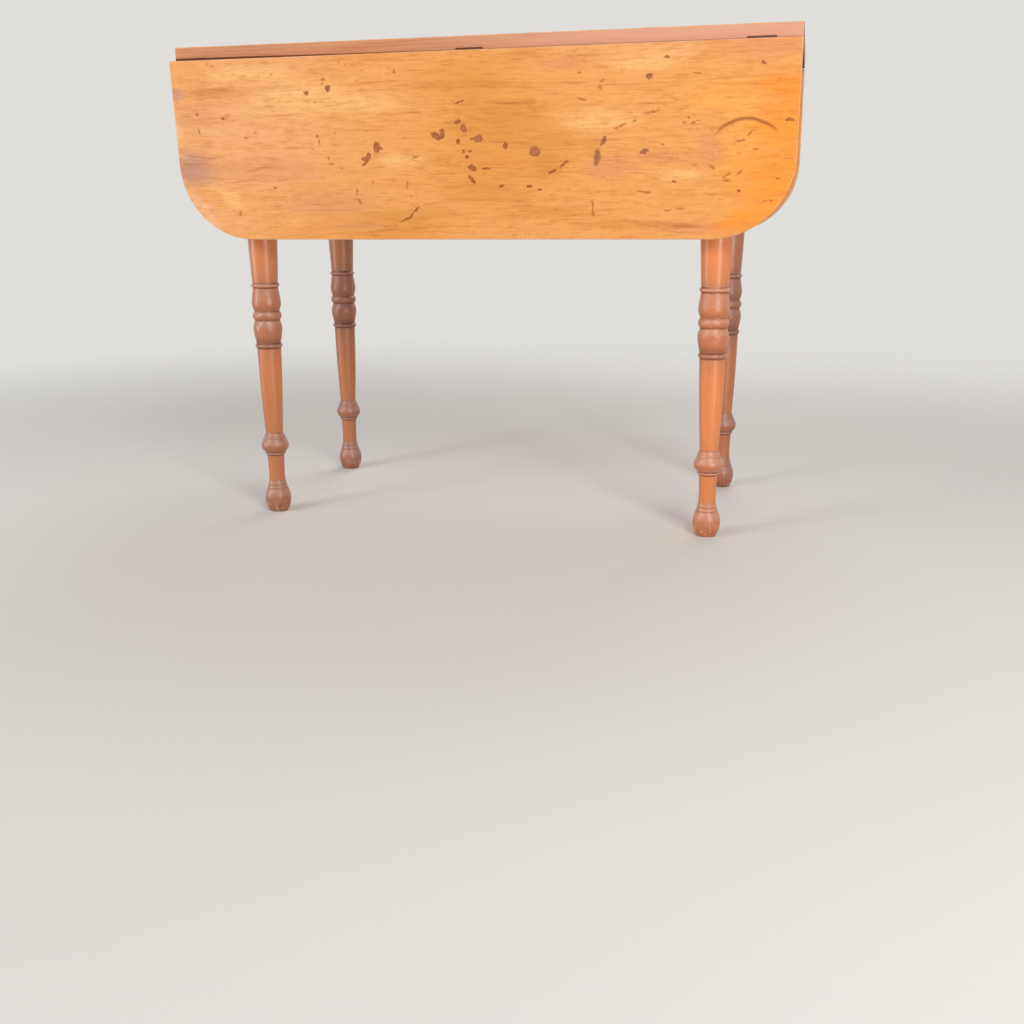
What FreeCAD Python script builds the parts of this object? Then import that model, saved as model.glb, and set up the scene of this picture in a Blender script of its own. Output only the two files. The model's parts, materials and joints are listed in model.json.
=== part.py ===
import FreeCAD, Part
import math
import os

# Pembroke table with both leaves hanging. Millimetres, +Z up, X along the length.
# The origin is on the floor, midway between the four feet. Each leaf hangs with its lower edge
# just clear of the legs.

os.makedirs("parts", exist_ok=True)
vec = FreeCAD.Vector
pieces = {}

# Boards of the top
table_height = 720.0
top_length = 918.0
top_width = 396.0
board_thickness = 20.0
leaf_width = 259.0
leaf_corner_radius = 112.0
leaf_gap = 0.8
leaf_rest_gap = 0.3
edge_round = 1.6

# Legs and their frame
end_overhang = 82.5
side_overhang = 12.0
leg_block = 48.0
block_drop = 10.0
apron_height = 122.0
rail_thickness = 18.0
end_setback = 3.0
tenon_thickness = 10.0
tenon_length = 22.0
tenon_shoulder = 2.0
drawer_rail_thickness = 20.0
drawer_rail_tenon_length = 16.0
dovetail_width = 24.0
dovetail_flare = 4.0

# Fly rails, brackets and their pins
fly_thickness = 18.0
fly_setback = 10.0
fly_pin_spacing = 330.0
fly_knuckles = 5
knuckle_back_gap = 0.5
knuckle_room = 0.6
knuckle_play = 0.4
bracket_leg_gap = 3.0
bracket_top_gap = 0.6
bracket_tip_height = 52.0
bracket_straight = 48.0
fly_pin_radius = 2.5
fly_pin_clearance = 0.06
fly_pin_top_gap = 2.0
fly_pin_head_radius = 4.5
fly_pin_head_height = 2.0

# Table hinges
hinge_places_shares = [-0.441, 0.0, 0.441]
hinge_length = 38.0
hinge_plate_width = 32.0
hinge_plate_thickness = 2.0
hinge_barrel_radius = 3.2
hinge_barrel_room = 0.6
hinge_middle_knuckle = 13.0
hinge_knuckle_play = 0.3
hinge_pin_radius = 1.6
hinge_pin_clearance = 0.05
inlay_gap = 0.3
hinge_screw_shares = [(-0.32, 0.45), (0.32, 0.45), (0.0, 0.78)]

# Screws: head radius, head height, shank radius, length
hinge_screw = {"head": 3.2, "sink": 1.6, "shank": 1.6, "length": 14.0}
frame_screw = {"head": 4.2, "sink": 2.6, "shank": 2.2, "length": 29.0}
screw_clearance = 0.1
screw_point = 4.0
screw_slot_width = 0.8
screw_slot_depth = 0.7
top_screw_shares = [-0.4, 0.0, 0.4]
fly_screw_shares = [-0.38, 0.0, 0.38]

# Drawer and what it runs on
drawer_length = 520.0
drawer_front_thickness = 20.0
drawer_side_thickness = 10.0
drawer_back_thickness = 9.0
drawer_bottom_thickness = 6.0
drawer_bottom_rise = 8.0
drawer_groove = 5.0
drawer_groove_clearance = 0.2
drawer_side_gap = 0.8
drawer_under_gap = 0.3
drawer_over_gap = 1.5
drawer_front_lap = 6.0
drawer_back_drop = 6.0
drawer_tails = 3
tail_slope_share = 0.16
pin_width_share = 0.3
kicker_thickness = 16.0
kicker_width = 20.0
runner_width = 22.0
runner_thickness = 18.0
runner_guide_height = 18.0
stop_length = 20.0
stop_width = 30.0
stop_height = 5.0
stop_place_share = 0.3
knob_radius = 16.0
knob_reach = 26.0
knob_tenon_radius = 5.0
knob_clearance = 0.1

# One overrun for every cut that passes through a face
overrun = 1.0

# Turned leg outline from the shoulder down: radius as a share of half the block, height as a
# share of the turned length. A pair of points is a round stretch, through the first to the second.
leg_outline_shares = [
    [(1.26, 1.012), (0.975, 0.995)],
    [(0.970, 0.990)],
    [(0.968, 0.800), (0.840, 0.6640)],
    [(0.826, 0.6575)],
    [(0.826, 0.6535)],
    [(0.918, 0.6483), (0.826, 0.6430)],
    [(0.824, 0.6400)],
    [(0.892, 0.6220), (0.950, 0.6035)],
    [(0.918, 0.5895), (0.834, 0.5800)],
    [(0.826, 0.5765)],
    [(0.948, 0.5645), (0.828, 0.5530)],
    [(0.834, 0.5495)],
    [(0.915, 0.5405), (0.948, 0.5240)],
    [(0.888, 0.5080), (0.814, 0.4930)],
    [(0.796, 0.4890)],
    [(0.796, 0.4870)],
    [(0.888, 0.4812), (0.798, 0.4755)],
    [(0.788, 0.4725)],
    [(0.718, 0.3500), (0.578, 0.2310)],
    [(0.648, 0.2262)],
    [(0.690, 0.2232)],
    [(0.676, 0.2215)],
    [(0.735, 0.2175)],
    [(0.722, 0.2158)],
    [(0.850, 0.2070), (0.918, 0.1970)],
    [(0.850, 0.1835), (0.672, 0.1755)],
    [(0.664, 0.1745)],
    [(0.688, 0.1718), (0.655, 0.1690)],
    [(0.580, 0.1680)],
    [(0.538, 0.1300), (0.545, 0.0930)],
    [(0.585, 0.0840)],
    [(0.622, 0.0800)],
    [(0.606, 0.0785)],
    [(0.690, 0.0695)],
    [(0.672, 0.0680)],
    [(0.715, 0.0655)],
    [(0.874, 0.0360), (0.650, 0.0030)],
    [(0.610, 0.0)],
]
leg_top_share = 1.5
leg_shoulder_share = 1.022

# Knob outline from the drawer front out: reach and radius as shares of the knob's own sizes
knob_outline_shares = [
    [(0.0, 0.62)],
    [(0.10, 0.62)],
    [(0.30, 0.40), (0.50, 0.62)],
    [(0.56, 0.97), (0.74, 1.0)],
    [(0.94, 0.76), (1.0, 0.36)],
    [(1.0, 0.0)],
]

# Places worked out from the sizes above
half_length = top_length / 2
half_width = top_width / 2
top_under = table_height - board_thickness
apron_bottom = top_under - apron_height
leg_x = half_length - end_overhang - leg_block / 2
leg_y = half_width - side_overhang - leg_block / 2
leg_inner_x = leg_x - leg_block / 2
leg_inner_y = leg_y - leg_block / 2
leg_outer_y = leg_y + leg_block / 2
turned_height = apron_bottom - block_drop
end_face_x = leg_x + leg_block / 2 - end_setback
side_rail_outer_y = leg_outer_y - fly_setback - fly_thickness
side_rail_inner_y = side_rail_outer_y - rail_thickness
fly_pin_x = fly_pin_spacing / 2
fly_pin_y = side_rail_outer_y + fly_thickness / 2
hinge_y = half_width + leaf_gap / 2
leaf_lean = math.atan2(hinge_y - leg_outer_y - leaf_rest_gap, leaf_width)
hang_angle = 90 + math.degrees(leaf_lean)
ledge_top = apron_bottom + drawer_rail_thickness
kicker_under = top_under - kicker_thickness


def box(x0, x1, y0, y1, z0, z1):
    return Part.makeBox(x1 - x0, y1 - y0, z1 - z0, vec(x0, y0, z0))


def rod(radius, start, end):
    run = end - start
    return Part.makeCylinder(radius, run.Length, start, run)


def prism(points, sweep):
    return Part.Face(Part.makePolygon(points + points[:1])).extrude(sweep)


def turned(stretches, start, finish, axis):
    edges = []
    here = start
    for stretch in stretches + finish:
        there = stretch[-1]
        if len(stretch) == 2:
            edges.append(Part.Arc(here, stretch[0], there).toShape())
        else:
            edges.append(Part.makeLine(here, there))
        here = there
    edges.append(Part.makeLine(here, start))
    return Part.Face(Part.Wire(edges)).revolve(vec(0, 0, 0), axis, 360)


def moved(shape, x, y, z):
    copy = shape.copy()
    copy.translate(vec(x, y, z))
    return copy


def half_turned(shape):
    copy = shape.copy()
    copy.rotate(vec(0, 0, 0), vec(0, 0, 1), 180)
    return copy


def hung(shape):
    copy = shape.copy()
    copy.rotate(vec(0, -hinge_y, top_under), vec(1, 0, 0), hang_angle)
    return copy


def screw_body(size, place, direction, grow):
    head = Part.makeCone(size["head"] + grow, size["shank"] + grow, size["sink"])
    shank_end = vec(0, 0, size["length"] - screw_point)
    shank = rod(size["shank"] + grow, vec(0, 0, 0), shank_end)
    tip = Part.makeCone(size["shank"] + grow, 0, screw_point + grow, shank_end)
    body = head.fuse([shank, tip]).removeSplitter()
    body.Placement = FreeCAD.Placement(place, FreeCAD.Rotation(vec(0, 0, 1), direction))
    return body


def screw(size, place, direction):
    reach = size["head"] + overrun
    slot = box(-reach, reach, -screw_slot_width / 2, screw_slot_width / 2, -overrun, screw_slot_depth)
    slot.Placement = FreeCAD.Placement(place, FreeCAD.Rotation(vec(0, 0, 1), direction))
    return screw_body(size, place, direction, 0).cut(slot)


def screw_hole(size, place, direction):
    return screw_body(size, place, direction, screw_clearance)


# Turned leg, square at the top and cut for the tenons that enter it
def leg_blank():
    half = leg_block / 2
    start = vec(leg_top_share * half, 0, leg_shoulder_share * turned_height)
    stretches = []
    for stretch in leg_outline_shares:
        stretches.append([vec(r * half, 0, z * turned_height) for r, z in stretch])
    finish = [[vec(0, 0, 0)], [vec(0, 0, top_under)], [vec(start.x, 0, top_under)]]
    round_form = turned(stretches, start, finish, vec(0, 0, 1))
    return box(-half, half, -half, half, 0, top_under).common(round_form)


# Side rail along X, with a tenon at each end
def side_rail(side):
    inner, outer = sorted((side * side_rail_inner_y, side * side_rail_outer_y))
    middle = side * (side_rail_inner_y + side_rail_outer_y) / 2
    board = box(-leg_inner_x, leg_inner_x, inner, outer, apron_bottom, top_under)
    reach = leg_inner_x + tenon_length
    low = ledge_top + tenon_shoulder
    high = kicker_under - tenon_shoulder
    tenon = box(-reach, reach, middle - tenon_thickness / 2, middle + tenon_thickness / 2, low, high)
    return board.fuse(tenon)


def end_rail():
    board = box(-end_face_x, rail_thickness - end_face_x, -leg_inner_y, leg_inner_y, apron_bottom, top_under)
    middle = rail_thickness / 2 - end_face_x
    reach = leg_inner_y + tenon_length
    low = ledge_top + tenon_shoulder
    high = kicker_under - tenon_shoulder
    tenon = box(middle - tenon_thickness / 2, middle + tenon_thickness / 2, -reach, reach, low, high)
    return board.fuse(tenon)


# Rail over the drawer, dovetailed into the leg tops
def upper_drawer_rail():
    board = box(leg_inner_x, end_face_x, -leg_inner_y, leg_inner_y, kicker_under, top_under)
    middle = (leg_inner_x + end_face_x) / 2
    neck = dovetail_width / 2 - dovetail_flare
    tail = dovetail_width / 2
    for side in (-1, 1):
        root_y = side * leg_inner_y
        end_y = side * (leg_inner_y + drawer_rail_tenon_length)
        outline = [vec(middle - neck, root_y, kicker_under), vec(middle + neck, root_y, kicker_under),
                   vec(middle + tail, end_y, kicker_under), vec(middle - tail, end_y, kicker_under)]
        board = board.fuse(prism(outline, vec(0, 0, kicker_thickness)))
    return board


def lower_drawer_rail():
    board = box(leg_inner_x, end_face_x, -leg_inner_y, leg_inner_y, apron_bottom, ledge_top)
    middle_x = (leg_inner_x + end_face_x) / 2
    middle_z = (apron_bottom + ledge_top) / 2
    reach = leg_inner_y + drawer_rail_tenon_length
    tenon = box(middle_x - dovetail_width / 2, middle_x + dovetail_width / 2, -reach, reach,
                middle_z - tenon_thickness / 2, middle_z + tenon_thickness / 2)
    return board.fuse(tenon)


# Wooden knuckles share a pin: the fly rail has the odd ones, the bracket the even ones
def knuckle_levels(first):
    step = apron_height / fly_knuckles
    return [(apron_bottom + n * step, apron_bottom + (n + 1) * step) for n in range(first, fly_knuckles, 2)]


def knuckled(board, pin_x, away, own_first, pin_room):
    radius = fly_thickness / 2 - knuckle_back_gap
    depth = fly_thickness / 2 + overrun
    corner = vec(pin_x, -fly_pin_y, apron_bottom - overrun)
    bevel = [corner, corner + vec(0, -depth, 0), corner + vec(away * depth, -depth, 0)]
    board = board.cut(prism(bevel, vec(0, 0, apron_height + 2 * overrun)))
    for low, high in knuckle_levels(1 - own_first):
        start = vec(pin_x, -fly_pin_y, low - knuckle_play / 2)
        board = board.cut(rod(radius + knuckle_room, start, vec(pin_x, -fly_pin_y, high + knuckle_play / 2)))
    for low, high in knuckle_levels(own_first):
        low_end = max(low + knuckle_play / 2, board.BoundBox.ZMin)
        high_end = min(high - knuckle_play / 2, board.BoundBox.ZMax)
        board = board.fuse(rod(radius, vec(pin_x, -fly_pin_y, low_end), vec(pin_x, -fly_pin_y, high_end)))
    bore_low = vec(pin_x, -fly_pin_y, apron_bottom - overrun)
    bore_high = vec(pin_x, -fly_pin_y, top_under + overrun)
    return board.cut(rod(fly_pin_radius + pin_room, bore_low, bore_high)).removeSplitter()


def fly_rail():
    board = box(-fly_pin_x, fly_pin_x, -side_rail_outer_y - fly_thickness, -side_rail_outer_y,
                apron_bottom, top_under)
    board = knuckled(board, -fly_pin_x, 1, 0, fly_pin_clearance / 2)
    return knuckled(board, fly_pin_x, -1, 0, fly_pin_clearance / 2)


# Bracket whose lower edge rises to the tip in two equal arcs
def fly_bracket(side):
    reach = leg_inner_x - bracket_leg_gap - fly_pin_x
    top = top_under - bracket_top_gap
    rise = top - bracket_tip_height - apron_bottom
    run = (reach - bracket_straight) / 2
    turn = 2 * math.atan2(rise / 2, run)
    bend = run / math.sin(turn)
    along = bend * math.sin(turn / 2)
    lift = bend * (1 - math.cos(turn / 2))

    def spot(x, z):
        return vec(side * (fly_pin_x + x), -side_rail_outer_y - knuckle_back_gap, z)

    root = spot(bracket_straight, apron_bottom)
    waist = spot(bracket_straight + run, apron_bottom + rise / 2)
    tip = spot(reach, apron_bottom + rise)
    edges = [
        Part.makeLine(spot(0, apron_bottom), root),
        Part.Arc(root, spot(bracket_straight + along, apron_bottom + lift), waist).toShape(),
        Part.Arc(waist, spot(reach - along, apron_bottom + rise - lift), tip).toShape(),
        Part.makeLine(tip, spot(reach, top)),
        Part.makeLine(spot(reach, top), spot(0, top)),
        Part.makeLine(spot(0, top), spot(0, apron_bottom)),
    ]
    thickness = fly_thickness - knuckle_back_gap
    board = Part.Face(Part.Wire(edges)).extrude(vec(0, -thickness, 0))
    return knuckled(board, side * fly_pin_x, side, 1, fly_pin_clearance)


def fly_pin(side):
    foot = vec(side * fly_pin_x, -fly_pin_y, apron_bottom)
    shank = rod(fly_pin_radius, foot, vec(foot.x, foot.y, top_under - fly_pin_top_gap))
    head = rod(fly_pin_head_radius, foot - vec(0, 0, fly_pin_head_height), foot)
    return shank.fuse(head)


# Hinge pieces for the front edge, drawn with the leaf raised level with the top
def hinge_at(x):
    def at(u, v, w):
        return vec(x + u, v - hinge_y, top_under + w)

    def slab(u0, u1, v0, v1, w0, w1):
        low = at(u0, v0, w0)
        return Part.makeBox(u1 - u0, v1 - v0, w1 - w0, low)

    half = hinge_length / 2
    middle = hinge_middle_knuckle / 2
    play = hinge_knuckle_play / 2
    clear = hinge_barrel_radius + hinge_knuckle_play
    thick = hinge_plate_thickness
    bore = rod(hinge_pin_radius + hinge_pin_clearance, at(-half - overrun, 0, 0), at(half + overrun, 0, 0))
    room = hinge_barrel_radius + hinge_barrel_room

    top_plate = slab(-half, half, 0, hinge_plate_width, 0, thick)
    top_plate = top_plate.cut(slab(-middle - play, middle + play, -clear, clear, -clear, clear))
    for u0, u1 in ((-half, -middle - play), (middle + play, half)):
        top_plate = top_plate.fuse(rod(hinge_barrel_radius, at(u0, 0, 0), at(u1, 0, 0)))

    leaf_plate = slab(-half, half, -hinge_plate_width, 0, 0, thick)
    for u0, u1 in ((-half - overrun, play - middle), (middle - play, half + overrun)):
        leaf_plate = leaf_plate.cut(slab(u0, u1, -clear, clear, -clear, clear))
    leaf_plate = leaf_plate.fuse(rod(hinge_barrel_radius, at(play - middle, 0, 0), at(middle - play, 0, 0)))

    long_half = half + inlay_gap
    barrel_seat = rod(room, at(-long_half, 0, 0), at(long_half, 0, 0))
    deep = hinge_plate_width + inlay_gap
    top_seat = slab(-long_half, long_half, 0, deep, -overrun, thick).fuse(barrel_seat)
    leaf_seat = slab(-long_half, long_half, -deep, 0, -overrun, thick).fuse(barrel_seat)

    up = vec(0, 0, 1)
    top_places = [at(u * hinge_length, v * hinge_plate_width, 0) for u, v in hinge_screw_shares]
    leaf_places = [at(u * hinge_length, -v * hinge_plate_width, 0) for u, v in hinge_screw_shares]
    top_holes = [screw_hole(hinge_screw, place, up) for place in top_places]
    leaf_holes = [screw_hole(hinge_screw, place, up) for place in leaf_places]
    return {
        "top_plate": top_plate.cut([bore] + top_holes).removeSplitter(),
        "leaf_plate": leaf_plate.cut([bore] + leaf_holes).removeSplitter(),
        "pin": rod(hinge_pin_radius, at(-half, 0, 0), at(half, 0, 0)),
        "top_screws": [screw(hinge_screw, place, up) for place in top_places],
        "leaf_screws": [screw(hinge_screw, place, up) for place in leaf_places],
        "top_cuts": [top_seat] + top_holes,
        "leaf_cuts": [leaf_seat] + leaf_holes,
    }


# Leaf drawn level with the top, with its two outer corners rounded
def raised_leaf(cuts):
    near = -hinge_y - leaf_gap / 2
    far = near - leaf_width
    r = leaf_corner_radius
    soft = r * math.sqrt(0.5)

    def spot(x, y):
        return vec(x, y, top_under)

    edges = [
        Part.makeLine(spot(-half_length, near), spot(half_length, near)),
        Part.makeLine(spot(half_length, near), spot(half_length, far + r)),
        Part.Arc(spot(half_length, far + r), spot(half_length - r + soft, far + r - soft),
                 spot(half_length - r, far)).toShape(),
        Part.makeLine(spot(half_length - r, far), spot(r - half_length, far)),
        Part.Arc(spot(r - half_length, far), spot(r - half_length - soft, far + r - soft),
                 spot(-half_length, far + r)).toShape(),
        Part.makeLine(spot(-half_length, far + r), spot(-half_length, near)),
    ]
    board = Part.Face(Part.Wire(edges)).extrude(vec(0, 0, board_thickness))
    rims = [edge for edge in board.Edges if edge.BoundBox.ZLength < edge_round]
    return board.makeFillet(edge_round, rims).cut(cuts)


def fixed_top(cuts):
    board = box(-half_length, half_length, -half_width, half_width, top_under, table_height)
    return board.makeFillet(edge_round, board.Edges).cut(cuts)


# Drawer box with dovetailed corners, its bottom slid into grooves
drawer_half_width = leg_inner_y - drawer_side_gap
drawer_low = ledge_top + drawer_under_gap
drawer_high = kicker_under - drawer_over_gap
drawer_back_x = end_face_x - drawer_length
drawer_inner_x = end_face_x - drawer_front_thickness
bottom_low = drawer_low + drawer_bottom_rise
bottom_high = bottom_low + drawer_bottom_thickness
back_low = bottom_high + drawer_groove_clearance
back_high = drawer_high - drawer_back_drop


def tail_gaps(root_x, end_x, low, high, inner_y, outer_y):
    step = (high - low) / drawer_tails
    slope = tail_slope_share * abs(end_x - root_x)
    gaps = []
    for n in range(drawer_tails + 1):
        middle = low + n * step
        narrow = pin_width_share * step / 2
        outline = [vec(root_x, inner_y, middle - narrow), vec(end_x, inner_y, middle - narrow - slope),
                   vec(end_x, inner_y, middle + narrow + slope), vec(root_x, inner_y, middle + narrow)]
        gaps.append(prism(outline, vec(0, outer_y - inner_y, 0)))
    return gaps


def drawer_side(side):
    outer = side * drawer_half_width
    inner = side * (drawer_half_width - drawer_side_thickness)
    front_end = end_face_x - drawer_front_lap
    y0, y1 = sorted((inner, outer))
    board = box(drawer_back_x, front_end, y0, y1, drawer_low, drawer_high)
    gaps = tail_gaps(drawer_inner_x, front_end, drawer_low, drawer_high, y0, y1)
    gaps += tail_gaps(drawer_back_x + drawer_back_thickness, drawer_back_x, back_low, back_high, y0, y1)
    groove_y = sorted((inner - side * overrun, inner + side * drawer_groove))
    groove = box(drawer_back_x - overrun, drawer_inner_x + drawer_groove, groove_y[0], groove_y[1],
                 bottom_low - drawer_groove_clearance, bottom_high + drawer_groove_clearance)
    return board.cut(gaps + [groove])


def drawer_bottom():
    half = drawer_half_width - drawer_side_thickness + drawer_groove - drawer_groove_clearance
    front = drawer_inner_x + drawer_groove - drawer_groove_clearance
    return box(drawer_back_x, front, -half, half, bottom_low, bottom_high)


def drawer_front(sides):
    board = box(drawer_inner_x, end_face_x, -drawer_half_width, drawer_half_width, drawer_low, drawer_high)
    half = drawer_half_width - drawer_side_thickness + drawer_groove
    groove = box(drawer_inner_x - overrun, drawer_inner_x + drawer_groove, -half, half,
                 bottom_low - drawer_groove_clearance, bottom_high + drawer_groove_clearance)
    middle = (drawer_low + drawer_high) / 2
    hole = rod(knob_tenon_radius + knob_clearance, vec(drawer_inner_x - overrun, 0, middle),
               vec(end_face_x + overrun, 0, middle))
    return board.cut(sides + [groove, hole])


def drawer_back(sides):
    board = box(drawer_back_x, drawer_back_x + drawer_back_thickness, -drawer_half_width, drawer_half_width,
                back_low, back_high)
    return board.cut(sides)


def drawer_knob():
    start = vec(-drawer_front_thickness, knob_tenon_radius, 0)
    stretches = [[vec(0, knob_tenon_radius, 0)]]
    for stretch in knob_outline_shares:
        stretches.append([vec(u * knob_reach, r * knob_radius, 0) for u, r in stretch])
    finish = [[vec(-drawer_front_thickness, 0, 0)]]
    knob = turned(stretches, start, finish, vec(1, 0, 0))
    return moved(knob, end_face_x, 0, (drawer_low + drawer_high) / 2)


def drawer_runner(side):
    wall = side * side_rail_inner_y
    ledge_y = sorted((wall, wall - side * runner_width))
    guide_y = sorted((wall, side * leg_inner_y))
    ledge = box(-leg_inner_x, leg_inner_x, ledge_y[0], ledge_y[1], ledge_top - runner_thickness, ledge_top)
    guide = box(-leg_inner_x, leg_inner_x, guide_y[0], guide_y[1], ledge_top, ledge_top + runner_guide_height)
    return ledge.fuse(guide).removeSplitter()


def kicker(side):
    wall = side * side_rail_inner_y
    y0, y1 = sorted((wall, wall - side * kicker_width))
    return box(-leg_inner_x, leg_inner_x, y0, y1, kicker_under, top_under)


def drawer_stop(side):
    front = drawer_inner_x - drawer_under_gap
    middle = side * stop_place_share * 2 * leg_inner_y
    return box(front - stop_length, front, middle - stop_width / 2, middle + stop_width / 2,
               ledge_top, ledge_top + stop_height)


# Frame
side_names = {-1: "front", 1: "rear"}
end_names = {-1: "left", 1: "right"}
for side in (-1, 1):
    pieces["side_rail_" + side_names[side]] = side_rail(side)
pieces["end_rail"] = end_rail()
pieces["drawer_rail_upper"] = upper_drawer_rail()
pieces["drawer_rail_lower"] = lower_drawer_rail()
joinery = [pieces[name] for name in list(pieces)]
blank = leg_blank()
for side in (-1, 1):
    for end in (-1, 1):
        leg = moved(blank, end * leg_x, side * leg_y, 0)
        pieces["leg_" + side_names[side] + "_" + end_names[end]] = leg.cut(joinery)

# Kickers, runners and the screws through the kickers into the top
up = vec(0, 0, 1)
top_screws = []
top_cuts = []
for side in (-1, 1):
    batten = kicker(side)
    holes = []
    for share in top_screw_shares:
        place = vec(share * 2 * leg_inner_x, side * (side_rail_inner_y - kicker_width / 2), kicker_under)
        top_screws.append(screw(frame_screw, place, up))
        holes.append(screw_hole(frame_screw, place, up))
    top_cuts += holes
    pieces["drawer_kicker_" + side_names[side]] = batten.cut(holes)
    pieces["drawer_runner_" + side_names[side]] = drawer_runner(side)
pieces["top_fixing_screws"] = Part.makeCompound(top_screws)
pieces["drawer_stops"] = Part.makeCompound([drawer_stop(-1), drawer_stop(1)])

# Fly rails with their screws, pins and brackets: the rear ones are the front ones turned about
fly_screws = []
fly_holes = []
for share in fly_screw_shares:
    place = vec(share * fly_pin_spacing, -side_rail_outer_y - fly_thickness, (apron_bottom + top_under) / 2)
    fly_screws.append(screw(frame_screw, place, vec(0, 1, 0)))
    fly_holes.append(screw_hole(frame_screw, place, vec(0, 1, 0)))
front_fly = fly_rail().cut(fly_holes)
pieces["fly_rail_front"] = front_fly
pieces["fly_rail_rear"] = half_turned(front_fly)
pieces["fly_rail_screws"] = Part.makeCompound(fly_screws + [half_turned(item) for item in fly_screws])
pieces["side_rail_front"] = pieces["side_rail_front"].cut(fly_holes)
pieces["side_rail_rear"] = pieces["side_rail_rear"].cut([half_turned(hole) for hole in fly_holes])
for end in (-1, 1):
    bracket = fly_bracket(end)
    pin = fly_pin(end)
    pieces["fly_bracket_front_" + end_names[end]] = bracket
    pieces["fly_bracket_rear_" + end_names[-end]] = half_turned(bracket)
    pieces["fly_pin_front_" + end_names[end]] = pin
    pieces["fly_pin_rear_" + end_names[-end]] = half_turned(pin)

# Hinges and leaves: the rear ones are the front ones turned about
place_names = ["left", "middle", "right"]
leaf_cuts = []
leaf_screws = []
plate_screws = []
for number, share in enumerate(hinge_places_shares):
    hinge = hinge_at(share * top_length)
    front_name = place_names[number]
    rear_name = place_names[-1 - number]
    leaf_plate = hung(hinge["leaf_plate"])
    for kind, shape in (("top_plate", hinge["top_plate"]), ("leaf_plate", leaf_plate), ("pin", hinge["pin"])):
        pieces["hinge_" + kind + "_front_" + front_name] = shape
        pieces["hinge_" + kind + "_rear_" + rear_name] = half_turned(shape)
    plate_screws += hinge["top_screws"] + [half_turned(item) for item in hinge["top_screws"]]
    leaf_screws += [hung(item) for item in hinge["leaf_screws"]]
    top_cuts += hinge["top_cuts"] + [half_turned(item) for item in hinge["top_cuts"]]
    leaf_cuts += hinge["leaf_cuts"]
front_leaf = hung(raised_leaf(leaf_cuts))
pieces["fixed_top"] = fixed_top(top_cuts)
pieces["front_leaf"] = front_leaf
pieces["rear_leaf"] = half_turned(front_leaf)
pieces["top_plate_screws"] = Part.makeCompound(plate_screws)
pieces["front_leaf_screws"] = Part.makeCompound(leaf_screws)
pieces["rear_leaf_screws"] = Part.makeCompound([half_turned(item) for item in leaf_screws])

# Drawer
drawer_sides = [drawer_side(-1), drawer_side(1)]
pieces["drawer_side_front"] = drawer_sides[0]
pieces["drawer_side_rear"] = drawer_sides[1]
pieces["drawer_front"] = drawer_front(drawer_sides)
pieces["drawer_back"] = drawer_back(drawer_sides)
pieces["drawer_bottom"] = drawer_bottom()
pieces["drawer_knob"] = drawer_knob()

for name, shape in pieces.items():
    shape.exportStep("parts/" + name + ".step")
    print(name, len(shape.Solids), "solids", round(shape.Volume), "mm3", shape.isValid())
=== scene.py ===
import json
import math
import random

import bpy
from mathutils import Matrix, Vector


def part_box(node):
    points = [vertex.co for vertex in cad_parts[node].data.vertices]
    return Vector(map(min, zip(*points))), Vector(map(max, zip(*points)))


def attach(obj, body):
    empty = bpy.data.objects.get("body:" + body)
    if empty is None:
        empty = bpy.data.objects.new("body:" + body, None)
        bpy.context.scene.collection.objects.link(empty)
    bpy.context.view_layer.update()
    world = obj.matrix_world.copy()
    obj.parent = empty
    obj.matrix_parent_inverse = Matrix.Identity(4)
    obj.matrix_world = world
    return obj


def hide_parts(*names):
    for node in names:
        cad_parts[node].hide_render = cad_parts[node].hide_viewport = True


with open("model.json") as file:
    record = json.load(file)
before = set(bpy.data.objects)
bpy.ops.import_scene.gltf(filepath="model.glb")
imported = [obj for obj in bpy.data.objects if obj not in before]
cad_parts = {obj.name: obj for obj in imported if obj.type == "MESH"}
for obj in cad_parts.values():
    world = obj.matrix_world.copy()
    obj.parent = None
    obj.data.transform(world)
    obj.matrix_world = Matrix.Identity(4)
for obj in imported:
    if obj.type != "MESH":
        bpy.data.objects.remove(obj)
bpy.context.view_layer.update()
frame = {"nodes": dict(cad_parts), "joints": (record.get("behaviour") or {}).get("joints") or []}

nodes = frame["nodes"]
joints = {joint["name"]: joint for joint in frame["joints"]}
scene = bpy.context.scene
scene.view_settings.view_transform = "Standard"
mm = 0.001
soakDepth = 4 * mm  # how far a stain goes into a board
print("frame loaded,", len(nodes), "nodes")


def paint(red, green, blue):
    # screen colour, 0 to 255, to the linear colour a shader takes
    def linear(level):
        level /= 255
        return level / 12.92 if level <= 0.04045 else ((level + 0.055) / 1.055) ** 2.4
    return (linear(red), linear(green), linear(blue), 1.0)


# the camera stands in front of the right end and looks down a little
cameraSetup = {
    "place": (475.97, -1876.99, 494.04),  # mm
    "yaw": 14.014,
    "pitch": 15.064,
    "roll": -0.468,
    "lens": 40.616,
    "sensor": 36.0,
}


def setCamera(setup):
    data = bpy.data.cameras.new("tableCamera")
    data.lens = setup["lens"]
    data.sensor_width = setup["sensor"]
    eye = bpy.data.objects.new("tableCamera", data)
    scene.collection.objects.link(eye)
    turn = Matrix.Rotation(math.radians(setup["yaw"]), 4, "Z")
    tip = Matrix.Rotation(math.radians(90 - setup["pitch"]), 4, "X")
    roll = Matrix.Rotation(math.radians(setup["roll"]), 4, "Z")
    eye.matrix_world = Matrix.Translation(Vector(setup["place"]) * mm) @ turn @ tip @ roll
    scene.camera = eye


setCamera(cameraSetup)
print("camera set")


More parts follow.
